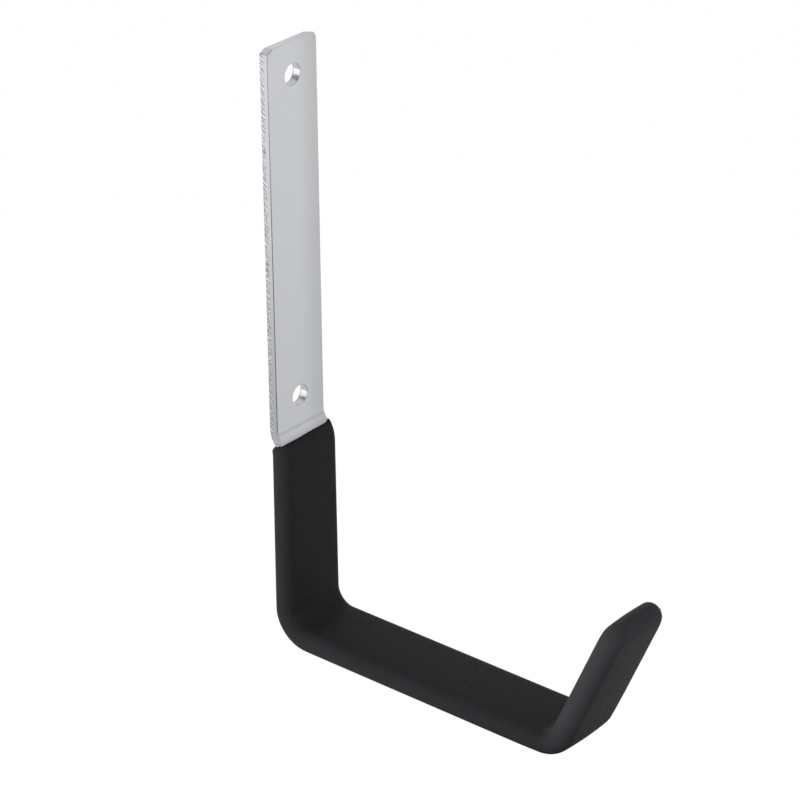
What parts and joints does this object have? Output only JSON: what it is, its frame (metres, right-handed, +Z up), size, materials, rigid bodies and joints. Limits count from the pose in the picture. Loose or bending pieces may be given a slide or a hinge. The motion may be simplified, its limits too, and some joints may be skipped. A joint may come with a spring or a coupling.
{
  "type": "garage utility hook",
  "caption": "Bent flat steel strap hook for a garage wall, with screw holes in its plate and a soft black sleeve over its arm and upturned tip.",
  "frame": {"origin": "midway between the two screw holes, on the wall plane behind the strap", "axes": "+Z up along the plate, the wall behind at +Y, the arm pointing out along -Y, X across the strap"},
  "size_m": [0.0302, 0.1587, 0.2343],
  "materials": {
    "zinc_plated_steel": "bright zinc plate, satin",
    "black_vinyl": "matte, fine pebbled grain"
  },
  "bodies": {
    "root": {"steel_strap": "zinc_plated_steel", "grip_sleeve": "black_vinyl"}
  },
  "joints": []
}
